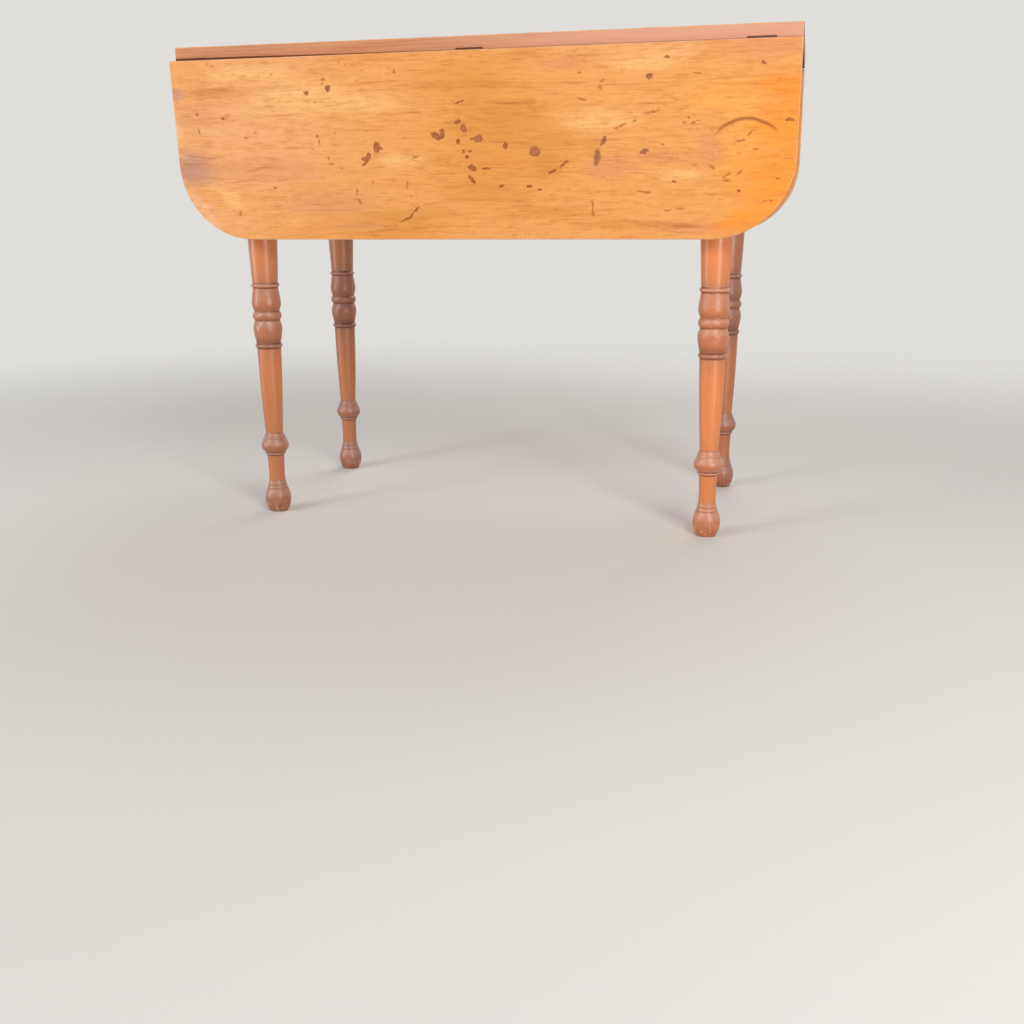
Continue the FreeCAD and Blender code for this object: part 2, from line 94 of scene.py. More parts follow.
class Finish:
    # one material and the few node shapes that the finishes below are written in
    def __init__(self, name):
        self.material = bpy.data.materials.new(name)
        self.material.use_nodes = True
        self.tree = self.material.node_tree
        self.shader = self.tree.nodes["Principled BSDF"]

    def plug(self, source, socket):
        if isinstance(source, bpy.types.NodeSocket):
            self.tree.links.new(source, socket)
        else:
            socket.default_value = source

    def give(self, label, source):
        self.plug(source, self.shader.inputs[label])

    def node(self, kind, settings, inputs):
        made = self.tree.nodes.new(kind)
        for key, value in settings.items():
            setattr(made, key, value)
        for key, value in inputs.items():
            self.plug(value, made.inputs[key])
        return made

    def objectSpot(self):
        return self.node("ShaderNodeTexCoord", {}, {}).outputs["Object"]

    def objectNormal(self):
        return self.node("ShaderNodeTexCoord", {}, {}).outputs["Normal"]

    def attribute(self, name):
        return self.node("ShaderNodeAttribute", {"attribute_name": name}, {}).outputs["Fac"]

    def local(self, coords, place, turn=(0, 0, 0), size=(1, 1, 1)):
        # coordinates seen from a place, a turn and a size of its own
        inputs = {"Vector": coords, "Location": place, "Rotation": turn, "Scale": size}
        return self.node("ShaderNodeMapping", {"vector_type": "TEXTURE"}, inputs).outputs[0]

    def stretch(self, coords, scale, shift):
        inputs = {"Vector": coords, "Location": shift, "Scale": scale}
        return self.node("ShaderNodeMapping", {}, inputs).outputs[0]

    def split(self, vector):
        return self.node("ShaderNodeSeparateXYZ", {}, {0: vector}).outputs

    def length(self, vector):
        return self.node("ShaderNodeVectorMath", {"operation": "LENGTH"}, {0: vector}).outputs["Value"]

    def sway(self, coords, push, amount):
        # coordinates moved by a push, times an amount for each axis
        inputs = {0: push, 1: amount, 2: coords}
        return self.node("ShaderNodeVectorMath", {"operation": "MULTIPLY_ADD"}, inputs).outputs[0]

    def calc(self, operation, first, second=0.0, clamp=False):
        settings = {"operation": operation, "use_clamp": clamp}
        return self.node("ShaderNodeMath", settings, {0: first, 1: second}).outputs[0]

    def times(self, first, second):
        return self.calc("MULTIPLY", first, second)

    def noise(self, coords, scale, detail=2.0, rough=0.5, shift=(0, 0, 0), output="Fac"):
        spread = self.stretch(coords, scale, shift)
        inputs = {"Vector": spread, "Scale": 1.0, "Detail": detail, "Roughness": rough}
        return self.node("ShaderNodeTexNoise", {}, inputs).outputs[output]

    def span(self, value, low, high, toLow=0.0, toHigh=1.0):
        inputs = {"Value": value, "From Min": low, "From Max": high, "To Min": toLow, "To Max": toHigh}
        return self.node("ShaderNodeMapRange", {"interpolation_type": "SMOOTHSTEP"}, inputs).outputs[0]

    def blend(self, factor, first, second, mode="MIX"):
        made = self.node("ShaderNodeMix", {"data_type": "RGBA", "blend_type": mode}, {})
        self.plug(factor, made.inputs["Factor"])
        self.plug(first, made.inputs[6])
        self.plug(second, made.inputs[7])
        return made.outputs[2]

    def shade(self, factor, colour, tone):
        # the colour times a tone, as far as the factor says
        return self.blend(factor, colour, self.blend(1.0, colour, tone, "MULTIPLY"))

    def ramp(self, factor, stops):
        made = self.node("ShaderNodeValToRGB", {}, {"Fac": factor})
        elements = made.color_ramp.elements
        while len(elements) < len(stops):
            elements.new(0.5)
        for element, (place, colour) in zip(elements, stops):
            element.position = place
            element.color = colour if isinstance(colour, tuple) else (colour, colour, colour, 1)
        return made.outputs["Color"]

    def relief(self, height, strength, distance):
        inputs = {"Height": height, "Strength": strength, "Distance": distance}
        self.give("Normal", self.node("ShaderNodeBump", {}, inputs).outputs[0])


def growthRings(finish, spot, look):
    # distance from the pith, bent by slow wander along the board, cut into yearly bands
    wander = finish.noise(spot, look["wanderScale"], output="Color")
    bent = finish.sway(spot, wander, (0, look["wander"], look["wander"]))
    place = finish.split(finish.local(bent, look["pith"], look["pithTurn"]))
    across = finish.calc("POWER", place["Y"], 2.0)
    through = finish.calc("POWER", place["Z"], 2.0)
    reach = finish.calc("SQRT", finish.calc("ADD", across, through))
    years = finish.calc("DIVIDE", reach, look["ringGap"])
    uneven = finish.noise(spot, look["unevenScale"], 1.0)
    years = finish.calc("ADD", years, finish.times(uneven, look["uneven"]))
    return finish.ramp(finish.calc("FRACT", years), look["ringTones"])


def woodTone(finish, spot, look):
    # rings, broad streaks and fine fibre added up to one tone from 0, pale, to 1, dark
    streaks = finish.noise(spot, look["streakScale"], 4.0, 0.6)
    bands = finish.noise(spot, look["bandScale"])
    fibre = finish.noise(spot, look["fibreScale"], 2.0, 0.6)
    tone = finish.times(growthRings(finish, spot, look), look["ringShare"])
    for layer, share in ((streaks, "streakShare"), (bands, "bandShare"), (fibre, "fibreShare")):
        centred = finish.calc("SUBTRACT", layer, 0.5)
        tone = finish.calc("ADD", tone, finish.times(centred, look[share]))
    tone = finish.calc("ADD", tone, look["toneBase"], clamp=True)
    return tone, fibre, streaks


def poreField(finish, spot, look):
    # short dark dashes along the grain
    dashes = finish.noise(spot, look["poreScale"], 1.0)
    cover = finish.noise(spot, look["poreCover"], 1.0)
    return finish.times(finish.span(dashes, 0.66, 0.74), finish.span(cover, 0.4, 0.7))


def markPlace(finish, coords, x, y, depth, heading, length, width):
    # coordinates of one mark, 1 at its rim: place and half sizes in mm, heading in degrees
    return finish.local(coords, (x * mm, y * mm, depth), (0, 0, math.radians(heading)),
                        (length * mm, width * mm, soakDepth))


def spotField(finish, coords, spots, depth):
    # the largest of many soft ellipses: x, y, half length, half width, tilt
    field = 0.0
    for x, y, length, width, tilt in spots:
        seen = markPlace(finish, coords, x, y, depth, tilt, length, width)
        fade = finish.node("ShaderNodeTexGradient", {"gradient_type": "SPHERICAL"}, {0: seen}).outputs["Fac"]
        field = finish.calc("MAXIMUM", fade, field)
    return field


def pushed(finish, spot, rate, reach):
    # the same spot pushed about by a noise, up to half of reach each way, in mm
    swirl = finish.noise(spot, rate, 3.0, 0.55, output="Color")
    along, across = reach[0] * mm, reach[1] * mm
    moved = finish.sway(spot, swirl, (along, across, 0))
    return finish.stretch(moved, (1, 1, 1), (-along / 2, -across / 2, 0))


def arcField(finish, coords, arcs, depth):
    # ring stains left by a jar: centre, radius, half width, heading and half opening
    field = 0.0
    for x, y, radius, width, heading, opening in arcs:
        seen = markPlace(finish, coords, x, y, depth, heading, radius, radius)
        off = finish.calc("ABSOLUTE", finish.calc("SUBTRACT", finish.length(seen), 1.0))
        line = finish.span(off, 0.0, width / radius, 1.0, 0.0)
        edge = math.cos(math.radians(opening))
        shown = finish.span(finish.split(seen)["X"], edge - 0.1, edge + 0.25)
        field = finish.calc("MAXIMUM", finish.times(line, shown), field)
    return field


# top and leaves: old cherry gone honey, straight grain along the table
boardLook = {
    "base": paint(242, 167, 95),
    "patches": {
        "pale": (paint(243, 178, 121), 0.8),
        "honey": (paint(232, 154, 72), 0.85),
        "gold": (paint(253, 198, 130), 0.7),
        "amber": (paint(252, 175, 82), 0.85),
        "dusty": (paint(222, 154, 102), 0.6),
        "deep": (paint(221, 148, 68), 0.62),
        "rosy": (paint(230, 152, 104), 0.7),
        "orange": (paint(255, 158, 50), 0.95),
        # lilac: a painted reflection, a pale sheen on the leaf's far left end
        "lilac": (paint(200, 148, 130), 0.95),
        # rim: a painted pale highlight along the left end and its lower corner, partly worn pale
        "rim": (paint(246, 192, 152), 0.8),
    },
    "stains": {
        "faint": (paint(208, 122, 50), 0.0, 0.5, 0.6),
        "medium": (paint(182, 94, 24), 0.02, 0.36, 0.8),
        "dark": (paint(152, 70, 0), 0.03, 0.32, 0.95),
        "plum": (paint(156, 74, 4), 0.03, 0.28, 0.95),
        "inky": (paint(132, 66, 40), 0.02, 0.42, 0.88),
    },
    "stainRed": paint(156, 78, 22),
    "plumCore": paint(178, 106, 64),
    "grainTones": ((0.2, (1.0, 1.0, 1.0, 1)), (0.5, (0.965, 0.915, 0.82, 1)),
                   (0.85, (0.84, 0.69, 0.44, 1))),
    "line": (0.77, 0.62, 0.46, 1),
    "fleck": (0.7, 0.56, 0.42, 1),
    "smudge": (0.84, 0.7, 0.5, 1),
    "mottle": paint(226, 150, 80),
    "edge": paint(207, 142, 100),
    "edgePale": paint(218, 154, 111),
    "edgeDark": paint(186, 121, 82),
    "edgeDust": paint(238, 180, 152),
    # painted shadow in the gap below the top's front edge, and the top's underside painted dark as shade
    "jointDirt": paint(98, 46, 24),
    "under": paint(122, 66, 36),
    # pale arris: worn edges, partly a painted highlight along them
    "arris": paint(240, 190, 152),
    "endGrain": {
        "pith": (0, 0.14, -0.075),
        "pithTurn": (0, 0, 0),
        "ringGap": 0.0052,
        "ringTones": ((0.0, paint(200, 134, 92)), (0.5, paint(193, 126, 84)), (0.84, paint(168, 104, 67)),
                      (0.93, paint(182, 116, 76)), (1.0, paint(200, 134, 92))),
        "wander": 0.006,
        "wanderScale": (4.0, 22.0, 22.0),
        "unevenScale": (1.0, 46.0, 46.0),
        "uneven": 0.9,
    },
    "endPores": (90.0, 1100.0, 1100.0),
    "endDirt": paint(128, 74, 46),
    "pith": (0, -0.16, 0.07),
    "pithTurn": (0, 0, math.radians(1.2)),
    "ringGap": 0.016,
    "ringTones": ((0.0, 0.2), (0.5, 0.4), (0.86, 1.0), (0.95, 0.5), (1.0, 0.2)),
    "wander": 0.07,
    "wanderScale": (2.2, 6.0, 6.0),
    "unevenScale": (0.9, 30.0, 30.0),
    "uneven": 2.6,
    "streakScale": (26.0, 210.0, 210.0),
    "bandScale": (3.0, 44.0, 44.0),
    "fibreScale": (40.0, 370.0, 370.0),
    "hairScale": (30.0, 480.0, 480.0),
    "poreScale": (130.0, 1000.0, 1000.0),
    "poreCover": (9.0, 26.0, 26.0),
    "ringShare": 0.1,
    "streakShare": 0.65,
    "bandShare": 0.5,
    "fibreShare": 1.05,
    "toneBase": 0.42,
    "drift": ((20, 90, 90), (46, 14)),  # rate of a push, and its reach in mm: patches
    "ripple": ((30, 90, 90), (10, 3)),  # drawn lines and ring stains
    "torn": ((130, 130, 130), (6, 6)),  # stains, wide
    "frayed": ((350, 350, 350), (4, 4)),  # stains, close
    "combScale": (7, 170, 170),
    "mottleScale": (38, 90, 90),
    "smudgeScale": (80, 220, 220),
    "blotchScale": (11, 26, 26),
    "edgeScale": (7, 260, 260),
    "rubScale": (30, 60, 60),
    "redScale": (90, 90, 90),
    "soakScale": (260, 260, 260),
    "combShare": 0.8,
    "mottleShare": 0.45,
    "poreShare": 0.55,
    "hairShare": 0.5,
    "smudgeShare": 0.7,
    "endPoreShare": 0.6,
    "endDirtShare": 0.5,
    "redShare": 0.7,
    "arcShare": 0.85,
    "coreShare": 0.85,
    "dustSpan": (-0.15, 0.24),  # where dust and a painted pale highlight thicken along the top's edge
    "dustShare": 0.62,
    "dirtSpan": (-0.46, -0.04),  # where the painted shadow at the joint narrows
    "dirtFade": (-0.9 * mm, 0.7 * mm),
    "dirtShare": 0.9,
    "rough": (0.36, 0.48),
    "stainRough": 0.1,
    "relief": (0.12, 0.3 * mm),
    "coat": 0.1,
    "coatRough": 0.25,
}
topLook = dict(boardLook, rough=(0.48, 0.6), coat=0.0, gloss=(0.35, 0.04))  # most of its polish is gone

# the face of the front leaf: x from the middle, y down from the hinge line, half sizes, tilt
frontLeafMarks = {
    "pale": [
        (-350, 110, 300, 190, 0), (230, 6, 170, 40, 0), (-380, 235, 120, 45, 10), (-300, 6, 210, 26, 0),
        (290, 10, 100, 26, 0),
    ],
    "honey": [
        (45, 130, 230, 160, 0), (0, 40, 150, 64, 0), (-120, 240, 200, 60, 0), (400, 240, 120, 40, -20),
    ],
    "gold": [
        (-250, 58, 150, 54, 0), (-330, 24, 150, 26, 0), (250, 24, 90, 30, 0), (-380, 195, 70, 24, 25),
        (300, 172, 70, 14, 0), (-160, 68, 130, 36, 0), (190, 96, 110, 30, 0), (-105, 148, 70, 20, 0),
    ],
    "amber": [(405, 140, 112, 135, 0), (360, 72, 110, 40, 0)],
    "dusty": [
        (-320, 158, 190, 34, 0), (-215, 206, 170, 40, 0), (-425, 80, 70, 46, 0), (-170, 240, 90, 14, 0),
    ],
    "deep": [
        (45, 98, 130, 62, 0), (120, 124, 85, 36, 0), (20, 194, 130, 34, 0), (0, 46, 170, 15, 1),
        (75, 10, 70, 14, 0), (-90, 225, 190, 24, -3), (178, 130, 32, 24, 0), (110, 222, 150, 20, 0),
        (-380, 47, 110, 13, 0), (115, 154, 60, 30, 0), (430, 62, 50, 15, 0), (230, 240, 140, 16, 2),
        (435, 108, 44, 14, 0),
    ],
    "rosy": [
        (340, 140, 40, 46, 0), (280, 148, 95, 17, 0), (410, 10, 130, 34, 0), (205, 160, 75, 30, 0),
        (330, 245, 110, 14, 3), (140, 22, 70, 20, 0),
    ],
    "orange": [
        (458, 112, 120, 80, 0), (446, 62, 84, 40, 0), (440, 185, 128, 96, 0), (395, 228, 96, 32, -20),
    ],
    # painted reflection: a lilac sheen at the far left end
    "lilac": [(-446, 153, 98, 54, 6), (-462, 47, 44, 18, 0)],
    # painted highlight along the left end and its lower corner, partly pale wear
    "rim": [
        (-428, 214, 80, 22, 48), (-440, 204, 48, 14, 57), (-414, 234, 48, 14, 38), (-457, 96, 9, 80, 0),
        (-457, 190, 10, 40, 0),
    ],
    "lines": [
        (-345, 172.5, 58, 1.8, -4.2), (-394, 53.5, 28, 1.7, -1), (-353, 41, 24, 2.6, 0),
        (-430, 41.5, 44, 2.4, 0), (-306, 140.5, 32, 1.7, 10), (-331, 156.5, 38, 1.7, -14),
        (-420, 137, 40, 1.5, 4), (-270, 46, 46, 2.2, -2), (-130, 39, 90, 2.2, -1.6),
        (-90, 49, 120, 2.4, -1), (30, 44, 62, 2, 2.5), (60, 52, 74, 2, 2.4), (148, 48, 40, 3.4, 2),
        (220, 53, 74, 1.7, 0.5), (330, 50, 74, 2, -3), (-140, 247, 84, 2.2, -5), (-55, 242, 62, 2, -3),
        (-50, 207, 34, 1.7, -6), (20, 203, 62, 1.5, -3), (285, 237.5, 98, 3.6, 2.6), (235, 233.5, 30, 2, 3),
        (70, 73, 52, 2.8, 0), (90, 80, 42, 1.7, 0), (-60, 81, 72, 1.6, -2), (-300, 82, 62, 1.6, -2),
        (-280, 127, 42, 2.4, 0), (330, 107, 42, 1.6, 1), (200, 124, 56, 2.6, 0), (62, 125, 60, 2, 2),
        (-30, 166, 62, 1.7, -2), (90, 206, 72, 2, 0), (-220, 216, 72, 1.7, 0), (250, 78, 84, 1.5, 0),
        (400, 48, 62, 1.7, -2), (-150, 104, 60, 1.6, 0), (160, 166, 60, 1.6, 0), (-395, 44, 70, 7, -1),
        (-300, 42, 60, 4, -1), (300, 239, 90, 7, 2.6),
    ],
    "dark": [
        (-243, 51, 4.2, 3.8, 0), (-208.5, 45.5, 5, 5.6, 0), (-380, 82.5, 3.6, 3, 0),
        (-138.7, 128, 6.6, 9.4, 0), (-132, 130, 4, 1.7, 0), (-151, 139.5, 4.4, 5, 20),
        (-155, 148, 11, 2, -40), (-11, 69, 9.5, 1.9, -14), (-50, 112.5, 6.6, 5.2, 0),
        (-37.5, 110.5, 4.4, 8, 0), (-42, 116.5, 7, 3.6, -10), (-45.5, 113, 4.6, 3.2, 20),
        (-14, 96, 6.2, 4.2, -20), (-14, 122, 3.8, 4.4, 0), (7, 119, 5, 1.5, 0), (-7, 136, 3.4, 3.2, 20),
        (3, 136.5, 4.4, 2, 0), (-1, 144, 3.4, 3.4, 0), (5, 159, 8.6, 4.4, 14), (4.5, 175, 9, 3.2, 50),
        (55, 129, 4.2, 6, 0), (25.7, 159.5, 7.6, 2.6, 0), (48.7, 183.7, 5.2, 2.4, -8),
        (89.5, 185, 5, 2.6, -6), (105, 190, 3.6, 2.3, 0), (123.5, 165.2, 7.6, 2, -25),
        (139, 156, 10, 2.3, -35), (-82, 217, 8.6, 2.5, -45), (-98, 230, 13, 2, -26),
        (-89.5, 224.5, 6, 1.9, -38), (282, 19.5, 3.8, 2, 0), (409.5, 30.7, 3.8, 2.8, 15),
        (446, 103.5, 7.6, 2.4, 3), (294, 180.7, 3.8, 2.1, 0), (383.5, 194, 3.6, 2.4, 0),
    ],
    "medium": [
        (-390, 9.3, 4, 2, 0), (-421, 76, 3.2, 3.6, 0), (-420, 100, 7.4, 1.7, 80), (-343, 110.7, 5, 2, 4),
        (-230, 111, 3.2, 3.2, 0), (-227, 120, 6.4, 1.6, 72), (-303, 182.7, 5, 2.5, 0),
        (-364, 220, 6.6, 2, 95), (-215, 33, 4.4, 2, 0), (-217.5, 38.7, 2.8, 2.3, 0),
        (-106.5, 25, 2.8, 3.4, 0), (-214, 142, 3.2, 2.6, 40), (-211, 150, 6.4, 1.4, 0),
        (-194.5, 156, 3.2, 1.6, 0), (-172.3, 190, 6, 1.9, 88), (-169, 204, 6.4, 2.2, 58),
        (-94, 181.5, 7.6, 1.4, 92), (-79.5, 142, 5, 2, -10), (161.5, 36, 3, 2.2, 0),
        (194, 47, 4.6, 2.3, -40), (192, 55, 3.2, 2.6, 0), (165, 70, 8.2, 2.6, 16),
        (218.5, 106.5, 12, 1.9, -22), (238, 100.5, 4, 2, -8), (180.5, 215, 12, 1.6, 86),
        (181.5, 223, 5, 2.3, 80), (323, 41, 6.4, 1.6, 0), (312.7, 97, 2.5, 2.3, 0), (307, 103.3, 2.9, 2, 0),
        (319, 104.3, 4.6, 2, -20), (326.7, 101.5, 2.7, 1.6, 0), (278, 131.5, 3.8, 1.8, 0),
        (395, 119.5, 6.6, 2.1, -48), (383, 129, 9, 2.3, -6), (404, 140, 4.4, 2.3, 10),
        (383.5, 169.5, 7.8, 2.2, -42), (367.5, 172.5, 6.4, 1.9, -28), (363, 177, 3, 1.7, 60),
        (366.5, 180, 4.4, 1.8, 0), (346, 163, 6, 2.2, 28), (435, 178.5, 4, 2.1, 0),
        (419.5, 207.5, 4.6, 1.7, 5), (426.7, 207.8, 4, 1.7, 5), (287, 219.5, 6.4, 1.6, 2),
        (305, 217, 6.4, 1.6, -3), (262.5, 89, 13, 2, -8), (253, 194, 13, 2, 11),
    ],
    "faint": [
        (-397, 6, 4, 2, 0), (-296, 24, 3.4, 2.6, 0), (-231, 63, 2.6, 2.6, 0), (-437, 79, 14, 1.3, -2),
        (-373, 80, 10, 4, -20), (-340.5, 104, 3, 2, 0), (-328.5, 104, 5, 2.4, 0), (-253, 124, 3, 2, 0),
        (-238.5, 128, 4, 2, 0), (-189, 11, 4, 2.4, 0), (-179, 15, 3, 2, 0), (-173, 17.5, 3, 2, 0),
        (-169, 14.5, 3, 1.9, 0), (-156, 22.5, 4, 1.9, 0), (-163, 37, 4, 1.9, -20), (-141, 141, 3.4, 2, 0),
        (-202, 108, 3, 2, 0), (-175, 199.5, 3, 2, 0), (-95, 116, 5, 1.8, 0), (-86, 210.5, 6, 1.7, 20),
        (23.5, 167, 4, 1.7, 0), (91, 72, 15, 6, 0), (204, 116, 5, 1.7, -8), (145.7, 188.7, 4, 1.7, 0),
        (189, 193.5, 4, 1.7, 0), (196, 173.7, 3, 1.7, 0), (316, 138.7, 5.4, 1.8, 0),
        (290, 150.7, 5, 2.4, 0), (298.5, 151, 4, 1.9, 0), (345.7, 113, 6, 4, 0), (381, 145, 7, 1.7, 0),
        (412, 150, 4, 1.6, 0), (433, 102.8, 12, 1.3, 0), (297, 216, 3, 1.6, 0), (67, 253, 6, 3.4, 0),
        (82, 253, 4, 1.3, 95), (88.7, 252.6, 4.4, 1.3, 95), (99, 252, 3.6, 1.3, 100),
        (104.5, 252, 3.8, 1.2, 95), (111, 252, 4, 1.6, 95), (116, 252.4, 3.6, 1.2, 95),
        (-147, 177, 4, 3, 0), (-88, 197, 3, 2, 0), (-80, 193.5, 3, 1.7, 0),
    ],
    "plum": [
        (97.7, 138, 9, 8.4, 0), (15.7, 119, 7.4, 6.6, 0), (-6, 105, 5.6, 6.6, 0), (-158, 144, 6, 3.6, -10),
    ],
    "inky": [
        (187, 147, 15, 6, 97), (195, 126, 10, 3.6, -60), (258, 42.7, 6.4, 5, -8),
        (252.7, 140, 7.4, 4.6, -35),
    ],
    "arcs": [(391, 153.7, 53.2, 4.0, -90, 50)],
    "patchShare": 1.0,
    "joint": None,
}

# the boards that face away: number, longest, widest and lean of each kind of mark
looseSetup = {
    "kinds": {
        "pale": (2, 280, 150, 4), "honey": (2, 240, 150, 4), "gold": (5, 150, 45, 4),
        "amber": (1, 120, 100, 4), "dusty": (3, 180, 40, 4), "deep": (6, 150, 40, 4),
        "rosy": (4, 100, 28, 4), "orange": (3, 110, 60, 4), "lilac": (1, 60, 30, 4),
        # rim patches are a pale painted highlight, partly wear; lilac ones a painted reflection
        "rim": (1, 60, 20, 40), "lines": (18, 90, 2.4, 4), "dark": (9, 9, 6, 60),
        "medium": (12, 9, 2.6, 60), "faint": (12, 8, 3, 40), "plum": (2, 9, 6, 40), "inky": (1, 11, 5, 60),
    },
    "along": (-0.46, 0.46),
    "down": (0.06, 0.92),
    "size": (0.4, 1),
    "ringAlong": (-0.3, 0.3),
    "ring": {"radius": 48, "width": 2.2, "opening": 60},
    "patchShare": 0.45,
}


def looseMarks(seed, length, width, setup, joint=None):
    dice = random.Random(seed)

    def scatter(count, longest, widest, lean):
        return [(dice.uniform(*setup["along"]) * length, dice.uniform(*setup["down"]) * width,
                 dice.uniform(*setup["size"]) * longest, dice.uniform(*setup["size"]) * widest,
                 dice.uniform(-lean, lean)) for mark in range(count)]

    marks = {label: scatter(*kind) for label, kind in setup["kinds"].items()}
    ring = setup["ring"]
    marks["arcs"] = [(dice.uniform(*setup["ringAlong"]) * length, 0.5 * width, ring["radius"], ring["width"],
                      dice.uniform(0, 360), ring["opening"])]
    return dict(marks, patchShare=setup["patchShare"], joint=joint)


def boardGrain(finish, spot, look):
    # what several layers of a board share
    tone, fibre, streaks = woodTone(finish, spot, look)
    return {
        "tone": tone,
        "fibre": fibre,
        "streaks": streaks,
        "pores": poreField(finish, spot, look),
        "blotch": finish.noise(spot, look["blotchScale"]),
        "ripple": pushed(finish, spot, *look["ripple"]),
    }


def faceColour(finish, spot, face, marks, look, grain):
    # broad patches first, then grain, drawn lines, pores, hairs and smudges
    colour = look["base"]
    drift = pushed(finish, spot, *look["drift"])
    combed = finish.calc("SUBTRACT", finish.noise(spot, look["combScale"], 4.0, 0.65, (3, 5, 7)), 0.5)
    combed = finish.times(combed, look["combShare"])
    # the lilac patches paint a reflection and the rim patches a highlight
    for label, (tint, share) in look["patches"].items():
        cover = finish.span(spotField(finish, drift, marks[label], face), 0.0, 0.95)
        ragged = finish.span(finish.calc("ADD", cover, combed), 0.05, 0.85, 0.0, share * marks["patchShare"])
        colour = finish.blend(finish.times(cover, ragged), colour, tint)
    mottle = finish.noise(spot, look["mottleScale"], 3.0, 0.6, (1, 2, 3))
    colour = finish.blend(finish.span(mottle, 0.48, 0.72, 0.0, look["mottleShare"]), colour, look["mottle"])
    colour = finish.blend(1.0, colour, finish.ramp(grain["tone"], look["grainTones"]), "MULTIPLY")
    lines = finish.span(spotField(finish, grain["ripple"], marks["lines"], face), 0.0, 0.8)
    lines = finish.times(lines, finish.span(grain["streaks"], 0.3, 0.65, 0.1, 0.75))
    colour = finish.shade(lines, colour, look["line"])
    colour = finish.shade(finish.times(grain["pores"], look["poreShare"]), colour, look["fleck"])
    hairs = finish.noise(spot, look["hairScale"], 2.0, 0.6, (2, 8, 5))
    colour = finish.shade(finish.span(hairs, 0.58, 0.7, 0.0, look["hairShare"]), colour, look["line"])
    smudge = finish.span(finish.noise(spot, look["smudgeScale"], shift=(9, 4, 2)), 0.57, 0.72)
    smudge = finish.times(smudge, finish.span(grain["blotch"], 0.36, 0.66, 0.0, look["smudgeShare"]))
    return finish.shade(smudge, colour, look["smudge"])


def edgeColour(finish, place, spot, normal, marks, look, grain):
    # planed edges along the grain, rings and open pores on the sawn ends
    fine = finish.noise(spot, look["edgeScale"], 4.0, 0.65)
    edge = finish.ramp(fine, ((0.32, look["edgeDark"]), (0.5, look["edge"]), (0.68, look["edgePale"])))
    # dust and a painted pale highlight towards the right along the top's front edge
    if marks["joint"]:
        dust = finish.span(place["X"], *look["dustSpan"], 0.0, look["dustShare"])
        edge = finish.blend(dust, edge, look["edgeDust"])
    sawn = growthRings(finish, spot, look["endGrain"])
    dots = finish.noise(spot, look["endPores"], 2.0, 0.6)
    sawn = finish.shade(finish.span(dots, 0.5, 0.66, 0.0, look["endPoreShare"]), sawn, look["fleck"])
    dirt = finish.span(grain["blotch"], 0.4, 0.7, 0.0, look["endDirtShare"])
    sawn = finish.blend(dirt, sawn, look["endDirt"])
    return finish.blend(finish.span(finish.calc("ABSOLUTE", normal["X"]), 0.5, 0.92), edge, sawn)


def stained(finish, spot, face, marks, look, grain, colour):
    # ring marks and spilled stains laid over a colour, and how much of them lies there
    torn = pushed(finish, pushed(finish, spot, *look["torn"]), *look["frayed"])
    redder = finish.span(finish.noise(spot, look["redScale"]), 0.4, 0.62, 0.0, look["redShare"])
    soak = finish.span(finish.noise(spot, look["soakScale"], shift=(4, 7, 1)), 0.34, 0.6, 0.74, 1.0)
    stains = finish.times(arcField(finish, grain["ripple"], marks["arcs"], face), look["arcShare"])
    colour = finish.blend(stains, colour, look["stains"]["dark"][0])
    for label, (tint, faint, full, share) in look["stains"].items():
        cover = finish.span(spotField(finish, torn, marks[label], face), faint, full, 0.0, share)
        cover = finish.times(cover, soak)
        if label == "dark":
            tint = finish.blend(redder, tint, look["stainRed"])
        colour = finish.blend(cover, colour, tint)
        stains = finish.calc("MAXIMUM", stains, cover)
    core = finish.span(spotField(finish, torn, marks["plum"], face), 0.24, 0.6, 0.0, look["coreShare"])
    return finish.blend(core, colour, look["plumCore"]), stains


